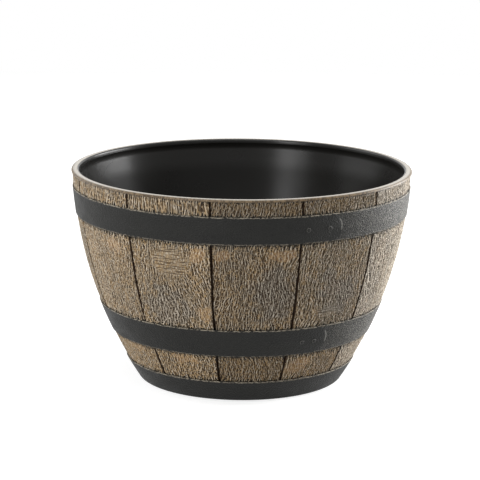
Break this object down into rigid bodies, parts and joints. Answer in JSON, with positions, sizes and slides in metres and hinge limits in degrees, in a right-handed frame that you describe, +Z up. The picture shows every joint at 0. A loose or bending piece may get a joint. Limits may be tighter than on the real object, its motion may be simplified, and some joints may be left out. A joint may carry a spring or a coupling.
{
  "type": "barrel planter",
  "caption": "Round barrel-style planter: a black moulded pot clad in curved wood-effect staves, bound by dark hoops with riveted laps, with a pull-out drain plug in its floor.",
  "frame": {"origin": "centre of the foot ring, on the ground plane that the planter stands on", "axes": "+Z up along the planter's axis, -Y towards the front that the picture shows, +X to the viewer's right"},
  "size_m": [0.39, 0.39, 0.245],
  "materials": {
    "pot": "glossy black inside, with the lip painted pale tan",
    "stave": "weathered oak effect: brown-grey wash over moulded vertical grain",
    "hoop": "satin charcoal paint over a lightly hammered face",
    "rivet": "satin charcoal paint",
    "plug": "matt black rubber"
  },
  "bodies": {
    "planter": {"pot": "pot", "stave_01": "stave", "stave_02": "stave", "stave_03": "stave", "stave_04": "stave", "stave_05": "stave", "stave_06": "stave", "stave_07": "stave", "stave_08": "stave", "stave_09": "stave", "stave_10": "stave", "stave_11": "stave", "stave_12": "stave", "base_hoop": "hoop", "lower_hoop": "hoop", "top_hoop": "hoop", "lower_hoop_rivet_1": "rivet", "lower_hoop_rivet_2": "rivet", "top_hoop_rivet_1": "rivet", "top_hoop_rivet_2": "rivet"},
    "drain_plug": {"drain_plug": "plug"}
  },
  "joints": [
    {"name": "drain_plug_lift", "type": "slide", "parent": "planter", "child": "drain_plug", "axis": [0, 0, 1], "range_m": [0, 0.25]}
  ]
}
